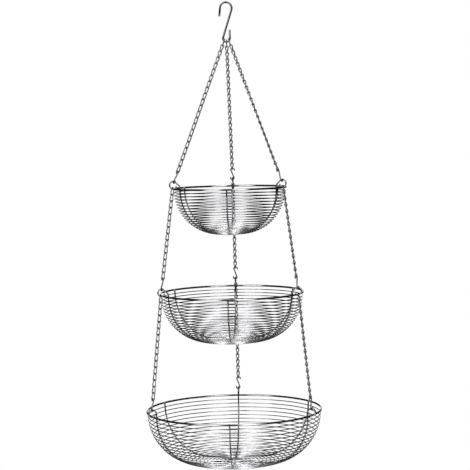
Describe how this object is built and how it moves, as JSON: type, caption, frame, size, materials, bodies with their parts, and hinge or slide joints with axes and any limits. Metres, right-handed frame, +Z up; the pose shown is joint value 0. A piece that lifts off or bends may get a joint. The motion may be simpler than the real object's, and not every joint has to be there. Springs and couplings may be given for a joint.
{
  "type": "hanging fruit basket",
  "caption": "Tiered hanging basket of round wire bowls on chains, with S-hooks at the rims and a bent wire hook at the top.",
  "frame": {"origin": "inner top of the top hook's upper bend, where it rests on what carries it", "axes": "+Z up along the line of hang, -Y the front, from which the hook's bends are seen open, +X to the right from the front"},
  "size_m": [0.3048, 0.3161, 0.7949],
  "materials": {
    "hook_wire": "polished",
    "chain_wire": "polished",
    "s_hook_wire": "polished",
    "rim_wire": "polished",
    "rib_wire": "polished",
    "hoop_wire": "polished"
  },
  "bodies": {
    "hook": {"top_hook": "hook_wire"},
    "top_tier": {"upper_chain_back": "chain_wire", "upper_chain_left": "chain_wire", "upper_chain_right": "chain_wire", "upper_s_hook_back": "s_hook_wire", "upper_s_hook_left": "s_hook_wire", "upper_s_hook_right": "s_hook_wire", "top_rim": "rim_wire", "top_upper_hoops": "hoop_wire", "top_lower_hoops": "hoop_wire", "top_base_hoops": "hoop_wire", "top_center_ring": "hoop_wire", "top_rib_back": "rib_wire", "top_rib_left": "rib_wire", "top_rib_right": "rib_wire", "top_rib_front": "rib_wire", "top_rib_back_left": "rib_wire", "top_rib_back_right": "rib_wire"},
    "middle_chain_back": {"middle_chain_back": "chain_wire", "middle_s_hook_back": "s_hook_wire"},
    "middle_chain_left": {"middle_chain_left": "chain_wire", "middle_s_hook_left": "s_hook_wire"},
    "middle_chain_right": {"middle_chain_right": "chain_wire", "middle_s_hook_right": "s_hook_wire"},
    "middle_tier": {"middle_rim": "rim_wire", "middle_upper_hoops": "hoop_wire", "middle_lower_hoops": "hoop_wire", "middle_base_hoops": "hoop_wire", "middle_center_ring": "hoop_wire", "middle_rib_back": "rib_wire", "middle_rib_left": "rib_wire", "middle_rib_right": "rib_wire", "middle_rib_front": "rib_wire", "middle_rib_back_left": "rib_wire", "middle_rib_back_right": "rib_wire"},
    "lower_chain_back": {"lower_chain_back": "chain_wire", "lower_s_hook_back": "s_hook_wire"},
    "lower_chain_left": {"lower_chain_left": "chain_wire", "lower_s_hook_left": "s_hook_wire"},
    "lower_chain_right": {"lower_chain_right": "chain_wire", "lower_s_hook_right": "s_hook_wire"},
    "bottom_tier": {"bottom_rim": "rim_wire", "bottom_upper_hoops": "hoop_wire", "bottom_lower_hoops": "hoop_wire", "bottom_base_hoops": "hoop_wire", "bottom_center_ring": "hoop_wire", "bottom_rib_back": "rib_wire", "bottom_rib_left": "rib_wire", "bottom_rib_right": "rib_wire", "bottom_rib_front": "rib_wire", "bottom_rib_back_left": "rib_wire", "bottom_rib_back_right": "rib_wire"}
  },
  "joints": [
    {"name": "hook_swing", "type": "hinge", "parent": "hook", "child": "top_tier", "pos_m": [0, 0, -0.05975], "axis": [0, 1, 0], "range_deg": [-20, 20]},
    {"name": "middle_sway", "type": "hinge", "parent": "top_tier", "child": "middle_chain_back", "pos_m": [0, 0.10801, -0.3134], "axis": [0, 1, 0], "range_deg": [-8, 8]},
    {"name": "middle_chain_left_sway", "type": "hinge", "parent": "top_tier", "child": "middle_chain_left", "pos_m": [-0.09354, -0.054, -0.3134], "axis": [0, 1, 0], "range_deg": [-8, 8]},
    {"name": "middle_chain_right_sway", "type": "hinge", "parent": "top_tier", "child": "middle_chain_right", "pos_m": [0.09354, -0.054, -0.3134], "axis": [0, 1, 0], "range_deg": [-8, 8]},
    {"name": "middle_tier_level", "type": "hinge", "parent": "middle_chain_back", "child": "middle_tier", "pos_m": [0, 0.13259, -0.48202], "axis": [0, 1, 0], "range_deg": [-8, 8]},
    {"name": "lower_sway", "type": "hinge", "parent": "middle_tier", "child": "lower_chain_back", "pos_m": [0, 0.1342, -0.49451], "axis": [0, 1, 0], "range_deg": [-8, 8]},
    {"name": "lower_chain_left_sway", "type": "hinge", "parent": "middle_tier", "child": "lower_chain_left", "pos_m": [-0.11622, -0.0671, -0.49451], "axis": [0, 1, 0], "range_deg": [-8, 8]},
    {"name": "lower_chain_right_sway", "type": "hinge", "parent": "middle_tier", "child": "lower_chain_right", "pos_m": [0.11622, -0.0671, -0.49451], "axis": [0, 1, 0], "range_deg": [-8, 8]},
    {"name": "bottom_tier_level", "type": "hinge", "parent": "lower_chain_back", "child": "bottom_tier", "pos_m": [0, 0.1555, -0.68573], "axis": [0, 1, 0], "range_deg": [-8, 8]}
  ],
  "couplings": [
    {"joint": "middle_chain_left_sway", "follows": "middle_sway", "ratio": 1},
    {"joint": "middle_chain_right_sway", "follows": "middle_sway", "ratio": 1},
    {"joint": "middle_tier_level", "follows": "middle_sway", "ratio": -0.8146},
    {"joint": "lower_chain_left_sway", "follows": "lower_sway", "ratio": 1},
    {"joint": "lower_chain_right_sway", "follows": "lower_sway", "ratio": 1},
    {"joint": "bottom_tier_level", "follows": "lower_sway", "ratio": -0.86299}
  ]
}
